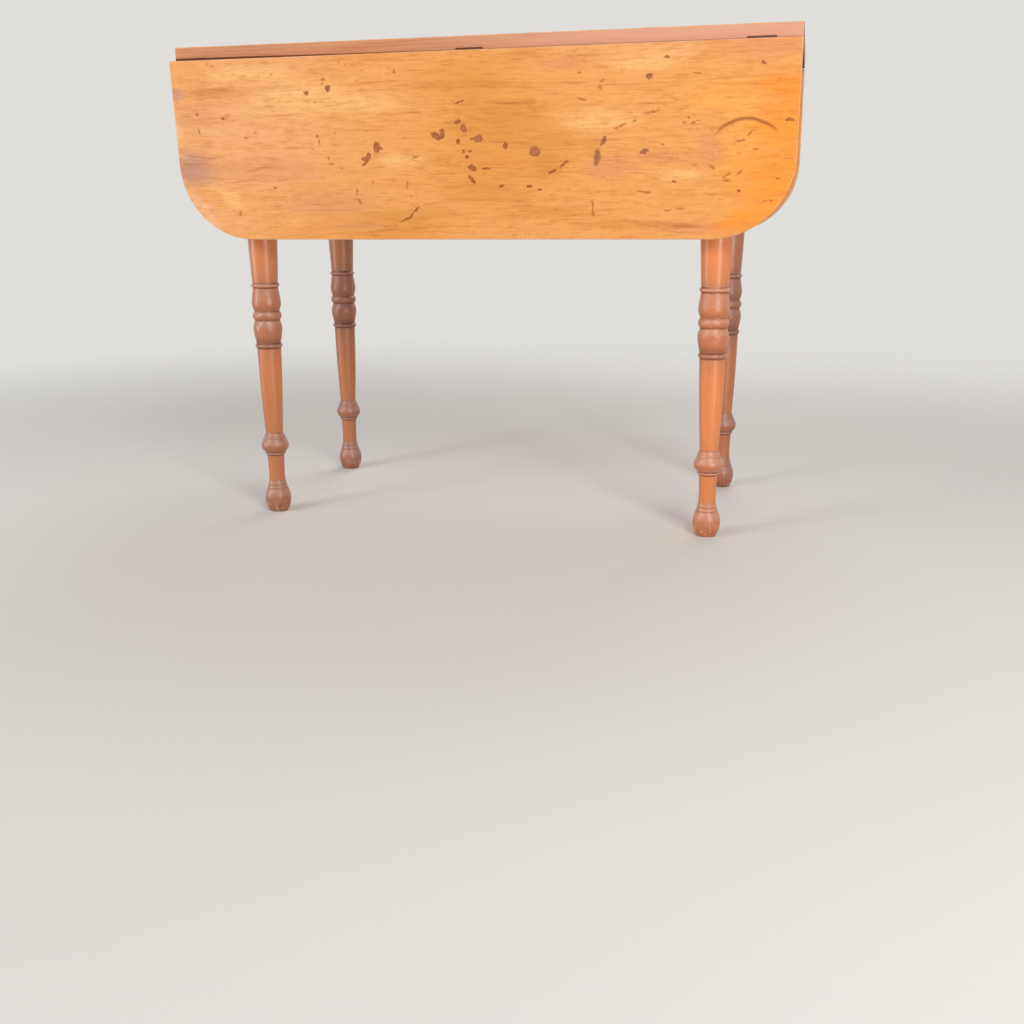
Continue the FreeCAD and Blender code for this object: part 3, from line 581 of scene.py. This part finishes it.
def boardFinish(name, origin, turn, face, faceAxis, marks, look):
    # face is how far the show side lies from the hinge plane, faceAxis the way the board is thin
    finish = Finish(name)
    spot = finish.local(finish.objectSpot(), origin, turn)
    place = finish.split(spot)
    normal = finish.split(finish.objectNormal())
    grain = boardGrain(finish, spot, look)
    colour = faceColour(finish, spot, face, marks, look, grain)
    edge = edgeColour(finish, place, spot, normal, marks, look, grain)
    if marks["joint"]:  # painted shadow of the gap along the lower edge of the top, and its underside painted dark as shade
        wide, narrow = marks["joint"]
        limit = finish.span(place["X"], *look["dirtSpan"], wide * mm, narrow * mm)
        above = finish.calc("SUBTRACT", place["Z"], limit)
        dirt = finish.span(above, *look["dirtFade"], look["dirtShare"], 0.0)
        edge = finish.blend(dirt, edge, look["jointDirt"])
        # the underside painted dark as shade, streaked with the darker painted joint shadow
        bare = finish.span(normal[faceAxis], -0.9, -0.5, 1.0, 0.0)
        shadedUnderColour = finish.blend(finish.span(grain["streaks"], 0.3, 0.7), look["under"], look["jointDirt"])
        colour = finish.blend(bare, colour, shadedUnderColour)
        dull = finish.calc("MAXIMUM", dirt, bare)
        finish.give("Specular IOR Level", finish.span(dull, 0.0, 0.9, *look["gloss"]))
    facing = finish.calc("ABSOLUTE", normal[faceAxis])
    colour = finish.blend(finish.span(facing, 0.1, 0.45, 1.0, 0.0), colour, edge)
    # pale worn arris along the edges, partly a painted highlight
    arris = finish.times(finish.span(facing, 0.2, 0.5), finish.span(facing, 0.8, 0.97, 1.0, 0.0))
    rubbed = finish.span(finish.noise(spot, look["rubScale"], 3.0), 0.3, 0.6)
    colour = finish.blend(finish.times(arris, rubbed), colour, look["arris"])
    colour, stains = stained(finish, spot, face, marks, look, grain, colour)
    finish.give("Base Color", colour)
    rough = finish.span(grain["streaks"], 0.3, 0.7, *look["rough"])
    finish.give("Roughness", finish.calc("ADD", rough, finish.times(stains, look["stainRough"])))
    finish.give("Coat Weight", look["coat"])
    finish.give("Coat Roughness", look["coatRough"])
    finish.relief(finish.calc("SUBTRACT", grain["fibre"], grain["pores"]), *look["relief"])
    return finish.material


def dress(material, name):
    mesh = nodes[name].data
    mesh.materials.clear()
    mesh.materials.append(material)


boards = {
    "thickness": 20.0,  # mm, and so are the next three
    "leafLength": 918.0,
    "leafWidth": 259.0,
    "jointDirt": (4.6, 1.6),
    "rearSeed": 11,
    "topSeed": 23,
}


def dressBoards(leafLook, fixedLook, setup):
    hinge = joints["front_leaf_hinge"]
    hang = math.radians(hinge["range_deg"][1] - 90)  # how far the leaf hangs past plumb
    down = -(math.pi / 2 - hang)
    face = -setup["thickness"] * mm
    spot = tuple(hinge["pos_m"])
    front = boardFinish("frontLeafCherry", spot, (down, 0, 0), face, "Y", frontLeafMarks, leafLook)
    dress(front, "front_leaf")
    spot = tuple(joints["rear_leaf_hinge"]["pos_m"])
    marks = looseMarks(setup["rearSeed"], setup["leafLength"], setup["leafWidth"], looseSetup)
    rear = boardFinish("rearLeafCherry", spot, (down, 0, math.pi), face, "Y", marks, leafLook)
    dress(rear, "rear_leaf")
    low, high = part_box("fixed_top")
    spot = (0, low.y, low.z)
    width = (high.y - low.y) / mm
    marks = looseMarks(setup["topSeed"], setup["leafLength"], width, looseSetup, setup["jointDirt"])
    top = boardFinish("fixedTopCherry", spot, (0, 0, 0), high.z - low.z, "Z", marks, fixedLook)
    dress(top, "fixed_top")
    print("boards finished")


dressBoards(boardLook, topLook, boards)

# turned legs: redder cherry, grain up the leg, dirt in the grooves
legLook = {
    "segments": 96,
    "blockCorner": 16.0,  # the higher, the sharper the corners of the square block
    "blockReach": 1.40,  # corner of the block, in half widths
    "blockStep": 1 * mm,
    "blockRows": 12,
    "softCorner": 0.45 * mm,
    "sharpTurn": math.radians(14),
    "closeSteps": (1.2, 2.6, 4.6),  # mm from the ends of a long stretch
    "hollowSteps": (-2.4, -1.2, 1.2, 2.4),  # mm down and up, to tell grooves from crests
    "hollowDepth": 0.9,  # mm
    "hollowEnd": 12 * mm,
    "wobble": 0.0025,
    "dents": 26,
    "dentTop": 0.39,
    "dentSize": (2, 5),  # mm
    "dentDepth": (0.15, 0.5),  # mm
    "plankStep": 0.9,  # how far along the plank the next leg is cut
    "plankTurn": 1.7,
    "turnedHeight": 0.568,  # heights in zones and shades are shares of this
    "zones": [(0.0, 1.0), (0.085, 1.0), (0.10, 0.15), (0.16, 0.15), (0.172, 0.9), (0.225, 0.8), (0.245, 0.1),
              (0.45, 0.0), (0.475, 0.8), (0.66, 0.8), (0.68, 0.1), (1.3, 0.0)],
    "shades": [(0.0, 0.3), (0.06, 0.0), (0.10, 0.25), (0.16, 0.25), (0.18, 0.0), (0.47, 0.0), (0.476, 1.0),
               (0.496, 1.0), (0.51, 0.0), (1.3, 0.0)],
    "shaft": paint(231, 139, 77),
    "turning": paint(192, 120, 84),
    # faces that look down get painted shade; faces that look up dust and a painted sheen
    "under": paint(188, 110, 66),
    "dust": paint(206, 147, 124),
    "groove": paint(108, 58, 38),
    "shadeTone": (0.72, 0.64, 0.56, 1),
    "crest": paint(212, 148, 116),
    "scuff": paint(232, 196, 168),
    # painted shadow: the rear legs' upper shafts under the leaf and the front left leg's foot
    "smoke": paint(84, 60, 54),
    "grainTones": ((0.2, (1.0, 1.0, 1.0, 1)), (0.5, (0.93, 0.89, 0.84, 1)),
                   (0.85, (0.74, 0.62, 0.52, 1))),
    "fleck": (0.62, 0.5, 0.42, 1),
    "pith": (0.012, 0.017, 0),
    "pithTurn": (0, 0, 0),
    "ringGap": 0.009,
    "ringTones": ((0.0, 0.2), (0.5, 0.35), (0.85, 1.0), (0.95, 0.5), (1.0, 0.2)),
    "wander": 0.016,
    "wanderScale": (5.0, 14.0, 14.0),
    "unevenScale": (2.0, 60.0, 60.0),
    "uneven": 1.2,
    "streakScale": (7.0, 240.0, 240.0),
    "bandScale": (5.0, 60.0, 60.0),
    "fibreScale": (40.0, 520.0, 520.0),
    "poreScale": (150.0, 1300.0, 1300.0),
    "poreCover": (10.0, 50.0, 50.0),
    "ringShare": 0.08,
    "streakShare": 0.85,
    "bandShare": 0.6,
    "fibreShare": 0.5,
    "toneBase": 0.42,
    "rubScale": (60, 60, 60),
    "moodScale": (7, 18, 18),
    "scrapeScale": (60, 190, 190),
    "dustShare": 0.85,
    "underShare": 0.8,
    "poreShare": 0.4,
    "scuffSpan": (0.004, 0.026),
    "scuffShare": 0.75,
    "smokeSpan": (0.08, 0.44),
    "rough": (0.33, 0.45),
    "dirtRough": 0.3,
    "relief": (0.1, 0.3 * mm),
    "coat": 0.35,
    "coatRough": 0.36,
}
# tint is painted light and shade: the front right leg lighter, the front left leg darker and the rear legs
# darkest, as light falls on each
legs = {
    "leg_front_left": {"seed": 1, "tint": (0.86, 0.87, 0.93), "smoke": (0.13, 0.0)},
    "leg_front_right": {"seed": 2, "tint": (1.05, 1.04, 0.98), "smoke": (0.0, 0.0)},
    "leg_rear_left": {"seed": 3, "tint": (0.77, 0.81, 0.98), "smoke": (0.1, 0.32)},
    "leg_rear_right": {"seed": 4, "tint": (0.77, 0.81, 0.98), "smoke": (0.1, 0.28)},
}


def legOutline(name, centre, look):
    # height and radius of each turned level of the leg, up to where its block is square
    low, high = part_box(name)
    half = (high.x - low.x) / 2
    levels = {}
    for vertex in nodes[name].data.vertices:
        height = round(vertex.co.z, 5)
        reach = (vertex.co.xy - centre).length
        levels[height] = max(levels.get(height, 0), reach)
    outline = []
    for height in sorted(levels):
        outline.append((height, levels[height]))
        if levels[height] > half * look["blockReach"]:
            break
    return outline, half, high.z


def radiusAt(outline, height):
    for (lowZ, lowR), (highZ, highR) in zip(outline, outline[1:]):
        if lowZ <= height <= highZ:
            return lowR + (highR - lowR) * (height - lowZ) / (highZ - lowZ)
    return outline[0][1] if height < outline[0][0] else outline[-1][1]


def legRows(outline, top, look):
    # rows at every level, with a softened pair where two slopes meet at a sharp corner
    rows = [outline[0]]
    for before, here, after in zip(outline, outline[1:], outline[2:]):
        into = (here[1] - before[1]) / (here[0] - before[0])
        out = (after[1] - here[1]) / (after[0] - here[0])
        room = min(look["softCorner"], (here[0] - before[0]) / 3, (after[0] - here[0]) / 3)
        if abs(math.atan(into) - math.atan(out)) > look["sharpTurn"]:
            rows.append((here[0] - room, here[1] - into * room))
            rows.append((here[0] + room, here[1] + out * room))
        else:
            rows.append(here)
    rows.append(outline[-1])
    start = outline[-1][0] + look["blockStep"]
    wide = outline[-1][1] * 2  # trimmed to the square block later
    for step in range(look["blockRows"] + 1):
        rows.append((start + (top - start) * step / look["blockRows"], wide))
    return rows


def closeRows(rows, look):
    # extra rows near both ends of a long stretch, so that groove dirt stays near its groove
    close = [rows[0]]
    for before, here in zip(rows, rows[1:]):
        gap = here[0] - before[0]
        steps = [step * mm for step in look["closeSteps"] if step * mm < gap * 0.45]
        heights = [before[0] + step for step in steps] + [here[0] - step for step in reversed(steps)]
        for height in heights:
            close.append((height, before[1] + (here[1] - before[1]) * (height - before[0]) / gap))
        close.append(here)
    return close


def zoneAt(zones, share):
    for (low, lowValue), (high, highValue) in zip(zones, zones[1:]):
        if low <= share <= high:
            return lowValue + (highValue - lowValue) * (share - low) / (high - low)
    return zones[-1][1]


def wornReach(height, radius, angle, dents, phase, look):
    # the radius at one angle, a little out of round and with the dents pressed in
    reach = radius * (1 - look["wobble"] * (1 + math.sin(2 * angle + phase + 3 * height)))
    for dentZ, dentAngle, size, depth in dents:
        away = math.remainder(angle - dentAngle, 2 * math.pi) * radius
        if abs(dentZ - height) < 2 * size and abs(away) < 2 * size:
            reach -= depth * math.exp(-((dentZ - height) ** 2 + away ** 2) / (size * size))
    return reach


def tubeFaces(rows, count):
    # a cap at each end and a band of faces from each row to the next
    faces = [tuple(reversed(range(count))), tuple(range((rows - 1) * count, rows * count))]
    for row in range(rows - 1):
        for segment in range(count):
            after = (segment + 1) % count
            faces.append((row * count + segment, row * count + after,
                          (row + 1) * count + after, (row + 1) * count + segment))
    return faces


def turnedLeg(name, setup, look):
    dice = random.Random(setup["seed"])
    low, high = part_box(name)
    centre = Vector(((low.x + high.x) / 2, (low.y + high.y) / 2))
    outline, half, top = legOutline(name, centre, look)
    rows = closeRows(legRows(outline, top, look), look)
    dents = [(dice.uniform(0.0, look["dentTop"]), dice.uniform(0, 2 * math.pi),
              dice.uniform(*look["dentSize"]) * mm, dice.uniform(*look["dentDepth"]) * mm)
             for dent in range(look["dents"])]
    phase = dice.uniform(0, 6)
    power = look["blockCorner"]
    count = look["segments"]
    points = []
    fields = {"crevice": [], "crest": [], "turning": [], "shade": []}
    for height, radius in rows:
        hollow = 0.0
        if height < outline[-1][0] - look["hollowEnd"]:
            near = [radiusAt(outline, height + step * mm) for step in look["hollowSteps"]]
            hollow = (sum(near) / len(near) - radius) / mm
        share = height / look["turnedHeight"]
        values = {"crevice": hollow / look["hollowDepth"], "crest": -hollow / look["hollowDepth"],
                  "turning": zoneAt(look["zones"], share), "shade": zoneAt(look["shades"], share)}
        for label, value in values.items():
            fields[label] += [max(0.0, min(1.0, value))] * count
        for segment in range(count):
            angle = 2 * math.pi * segment / count
            side = (abs(math.cos(angle)) ** power + abs(math.sin(angle)) ** power) ** (-1 / power)
            reach = min(wornReach(height, radius, angle, dents, phase, look), half * side)
            points.append((centre.x + reach * math.cos(angle), centre.y + reach * math.sin(angle), height))
    mesh = bpy.data.meshes.new(name + "_turned")
    mesh.from_pydata(points, [], tubeFaces(len(rows), count))
    mesh.shade_smooth()
    for label, values in fields.items():
        mesh.attributes.new(label, "FLOAT", "POINT").data.foreach_set("value", values)
    leg = bpy.data.objects.new(name + "_turned", mesh)
    scene.collection.objects.link(leg)
    mesh.materials.append(legFinish(name + "Cherry", centre, setup, look))
    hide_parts(name)
    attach(leg, "frame")


def legFinish(name, centre, setup, look):
    finish = Finish(name)
    seed = setup["seed"]
    start = (centre.x, centre.y, -seed * look["plankStep"])
    spot = finish.local(finish.objectSpot(), start, (0, math.pi / 2, 0))
    spot = finish.local(spot, (0, 0, 0), (seed * look["plankTurn"], 0, 0))
    height = finish.split(finish.objectSpot())["Z"]
    up = finish.split(finish.objectNormal())["Z"]
    tone, fibre, streaks = woodTone(finish, spot, look)
    pores = poreField(finish, spot, look)
    rub = finish.noise(spot, look["rubScale"], 3.0)
    mood = finish.span(finish.noise(spot, look["moodScale"]), 0.25, 0.6, 0.7, 1.0)
    colour = finish.blend(finish.times(finish.attribute("turning"), mood), look["shaft"], look["turning"])
    # dust and a painted sheen on faces that look up
    colour = finish.blend(finish.span(up, 0.02, 0.3, 0.0, look["dustShare"]), colour, look["dust"])
    # painted shade on faces that look down
    colour = finish.blend(finish.span(up, -0.4, -0.06, look["underShare"], 0.0), colour, look["under"])
    colour = finish.blend(1.0, colour, finish.ramp(tone, look["grainTones"]), "MULTIPLY")
    colour = finish.shade(finish.times(pores, look["poreShare"]), colour, look["fleck"])
    crest = finish.span(finish.attribute("crest"), 0.12, 0.6)
    colour = finish.blend(finish.times(crest, finish.span(rub, 0.3, 0.6, 0.3, 0.8)), colour, look["crest"])
    dirt = finish.span(finish.attribute("crevice"), 0.14, 0.9)
    dirt = finish.times(dirt, finish.span(rub, 0.25, 0.62, 0.3, 0.85))
    colour = finish.blend(dirt, colour, look["groove"])
    colour = finish.shade(finish.attribute("shade"), colour, look["shadeTone"])
    scrape = finish.span(finish.noise(spot, look["scrapeScale"], 3.0, 0.6), 0.5, 0.72)
    scuff = finish.times(finish.span(height, *look["scuffSpan"], 1.0, 0.0), scrape)
    colour = finish.blend(finish.times(scuff, look["scuffShare"]), colour, look["scuff"])
    # painted light and shade: each leg lighter or darker as light falls on it
    colour = finish.blend(1.0, colour, (*setup["tint"], 1), "MULTIPLY")
    # painted shadow, darker towards the top of the rear legs and towards the foot of the front left leg
    smoke = finish.span(height, *look["smokeSpan"], *setup["smoke"])
    finish.give("Base Color", finish.blend(smoke, colour, look["smoke"]))
    rough = finish.span(streaks, 0.3, 0.7, *look["rough"])
    finish.give("Roughness", finish.calc("ADD", rough, finish.times(dirt, look["dirtRough"])))
    finish.give("Coat Weight", look["coat"])
    finish.give("Coat Roughness", look["coatRough"])
    finish.relief(finish.calc("SUBTRACT", fibre, pores), *look["relief"])
    return finish.material


for legName, legSetup in legs.items():
    turnedLeg(legName, legSetup, legLook)
print("legs turned")

# rails, drawer and brackets: sawn and planed wood, less finish than the show faces
plainLook = dict(boardLook, poreShare=0.5, grimeScale=(9, 24, 24), grimeShare=0.5, fibreRise=0.5, poreDepth=0.4,
                 relief=(0.3, 0.4 * mm), coat=0.0)
frameLook = dict(plainLook, base=paint(206, 128, 78), grime=paint(112, 66, 42), rough=(0.42, 0.58), coat=0.06)
flyLook = dict(plainLook, base=paint(198, 148, 98), grime=paint(104, 72, 46), rough=(0.55, 0.72))
innerLook = dict(plainLook, base=paint(222, 184, 128), grime=paint(128, 94, 58), rough=(0.6, 0.78),
                 ringGap=0.0048, ringShare=0.5, toneBase=0.25)
grainTurns = {"X": (0, 0, 0), "Y": (0, 0, math.pi / 2)}


def plainWood(name, grain, place, look):
    # grain is the axis the fibres follow, place shifts the piece to another part of the plank
    finish = Finish(name)
    spot = finish.local(finish.objectSpot(), place, grainTurns[grain])
    tone, fibre, streaks = woodTone(finish, spot, look)
    pores = poreField(finish, spot, look)
    colour = finish.blend(1.0, look["base"], finish.ramp(tone, look["grainTones"]), "MULTIPLY")
    colour = finish.shade(finish.times(pores, look["poreShare"]), colour, look["fleck"])
    grime = finish.noise(spot, look["grimeScale"], 4.0, 0.6)
    colour = finish.blend(finish.span(grime, 0.5, 0.8, 0.0, look["grimeShare"]), colour, look["grime"])
    finish.give("Base Color", colour)
    finish.give("Roughness", finish.span(streaks, 0.3, 0.7, *look["rough"]))
    finish.give("Coat Weight", look["coat"])
    raised = finish.times(fibre, look["fibreRise"])
    finish.relief(finish.calc("SUBTRACT", raised, finish.times(pores, look["poreDepth"])), *look["relief"])
    return finish.material


# name of the wood, grain, look and the pieces cut from it
plainPieces = [
    ("Cherry", "X", frameLook, ["side_rail_front", "side_rail_rear", "drawer_knob"]),
    ("Cherry", "Y", frameLook, ["end_rail", "drawer_rail_upper", "drawer_rail_lower", "drawer_front"]),
    ("Maple", "X", flyLook, ["fly_rail_front", "fly_rail_rear", "fly_bracket_front_left",
                             "fly_bracket_front_right", "fly_bracket_rear_left", "fly_bracket_rear_right"]),
    ("Pine", "X", innerLook, ["drawer_side_front", "drawer_side_rear", "drawer_runner_front",
                              "drawer_runner_rear", "drawer_kicker_front", "drawer_kicker_rear"]),
    ("Pine", "Y", innerLook, ["drawer_back", "drawer_bottom", "drawer_stops"]),
]
plankSetup = {"seed": 5, "reach": (-0.6, 0.6)}  # each piece comes from its own part of the plank
plank = random.Random(plankSetup["seed"])
for wood, grain, look, names in plainPieces:
    for name in names:
        place = tuple(round(plank.uniform(*plankSetup["reach"]), 3) for axis in range(3))
        dress(plainWood(name + wood, grain, place, look), name)
print("frame, drawer and brackets finished")

# hinges, pins and screws
ironLook = {
    "dark": paint(104, 60, 40),
    "bare": paint(136, 90, 64),
    "rust": paint(142, 76, 46),
    "patchScale": (120, 120, 120),
    "gritScale": (900, 900, 900),
    "relief": (0.25, 0.2 * mm),
    "rough": (0.5, 0.8),
    "metal": 0.1,
    "gloss": 0.15,
}
steelLook = dict(ironLook, dark=paint(92, 88, 82), bare=paint(150, 146, 138), rust=paint(108, 70, 46),
                 rough=(0.3, 0.6), metal=0.9, gloss=0.5)


def ironFinish(name, look):
    finish = Finish(name)
    spot = finish.objectSpot()
    patches = finish.noise(spot, look["patchScale"], 4.0, 0.6)
    grit = finish.noise(spot, look["gritScale"], 3.0, 0.6)
    colour = finish.blend(finish.span(grit, 0.35, 0.7), look["dark"], look["bare"])
    rust = finish.times(finish.span(patches, 0.48, 0.66), finish.span(grit, 0.3, 0.6))
    finish.give("Base Color", finish.blend(rust, colour, look["rust"]))
    finish.give("Roughness", finish.span(patches, 0.3, 0.7, *look["rough"]))
    finish.give("Metallic", look["metal"])
    finish.give("Specular IOR Level", look["gloss"])
    finish.relief(grit, *look["relief"])
    return finish.material


hingeIron = ironFinish("hingeIron", ironLook)
plainSteel = ironFinish("plainSteel", steelLook)
for name in nodes:
    if name.startswith("hinge_"):
        dress(hingeIron, name)
    elif "pin" in name or "screws" in name:
        dress(plainSteel, name)
print("iron finished")

# pale floor that fades into the backdrop, three soft boxes and two low panels for the legs
studio = {
    "floor": paint(234, 232, 228),
    "floorRough": 0.9,
    "floorGloss": 0.1,
    "floorSize": 4.0,
    "floorSides": 64,
    "fade": (0.9, 2.6),
    "backdrop": paint(224, 222, 218),
    "ambient": 0.36,
    "lights": {
        "keySoftbox": {"place": (1.5, -2.5, 2.3), "size": 1.3, "power": 38.5},
        "fillSoftbox": {"place": (-2.2, -2.4, 1.9), "size": 1.2, "power": 29.5},
        "backSoftbox": {"place": (0.4, 2.6, 2.4), "size": 2.6, "power": 40},
        "lowPanelRight": {"place": (1.6, -1.95, 0.36), "size": 0.28, "tall": 0.6, "power": 14.5},
        "lowPanelLeft": {"place": (-2.1, -1.1, 0.36), "size": 0.35, "tall": 0.7, "power": 9},
    },
    "aim": (0, 0, 0.45),
}


def buildFloor(setup):
    size, sides = setup["floorSize"], setup["floorSides"]
    angles = [2 * math.pi * side / sides for side in range(sides)]
    rim = [(size * math.cos(angle), size * math.sin(angle), 0) for angle in angles]
    mesh = bpy.data.meshes.new("floor")
    mesh.from_pydata(rim, [], [tuple(range(sides))])
    floor = bpy.data.objects.new("floor", mesh)
    scene.collection.objects.link(floor)
    finish = Finish("paleFloor")
    finish.give("Base Color", setup["floor"])
    finish.give("Roughness", setup["floorRough"])
    finish.give("Specular IOR Level", setup["floorGloss"])
    away = finish.span(finish.length(finish.objectSpot()), *setup["fade"])
    clear = finish.node("ShaderNodeBsdfTransparent", {}, {}).outputs[0]
    mixed = finish.node("ShaderNodeMixShader", {}, {0: away, 1: finish.shader.outputs[0], 2: clear})
    finish.plug(mixed.outputs[0], finish.tree.nodes["Material Output"].inputs["Surface"])
    mesh.materials.append(finish.material)


def buildWorld(setup):
    # the backdrop shows at full strength where it is seen, and lights the table by less
    world = bpy.data.worlds.new("studioWorld")
    scene.world = world
    world.use_nodes = True
    sky = world.node_tree
    paths = sky.nodes.new("ShaderNodeLightPath")
    seen = paths.outputs["Is Camera Ray"]
    for ray in ("Is Glossy Ray", "Is Transmission Ray"):
        either = sky.nodes.new("ShaderNodeMath")
        either.operation = "MAXIMUM"
        sky.links.new(seen, either.inputs[0])
        sky.links.new(paths.outputs[ray], either.inputs[1])
        seen = either.outputs[0]
    level = sky.nodes.new("ShaderNodeMapRange")
    level.inputs["To Min"].default_value = setup["ambient"]
    level.inputs["To Max"].default_value = 1.0
    sky.links.new(seen, level.inputs["Value"])
    sky.nodes["Background"].inputs["Color"].default_value = setup["backdrop"]
    sky.links.new(level.outputs[0], sky.nodes["Background"].inputs["Strength"])


def buildLights(setup):
    for name, light in setup["lights"].items():
        lamp = bpy.data.lights.new(name, "AREA")
        lamp.shape = "RECTANGLE" if "tall" in light else "DISK"
        lamp.size = light["size"]
        lamp.size_y = light.get("tall", light["size"])
        lamp.energy = light["power"]
        stand = bpy.data.objects.new(name, lamp)
        scene.collection.objects.link(stand)
        stand.location = light["place"]
        stand.rotation_euler = (Vector(setup["aim"]) - stand.location).to_track_quat("-Z", "Y").to_euler()


buildFloor(studio)
buildWorld(studio)
buildLights(studio)
print("studio lit")
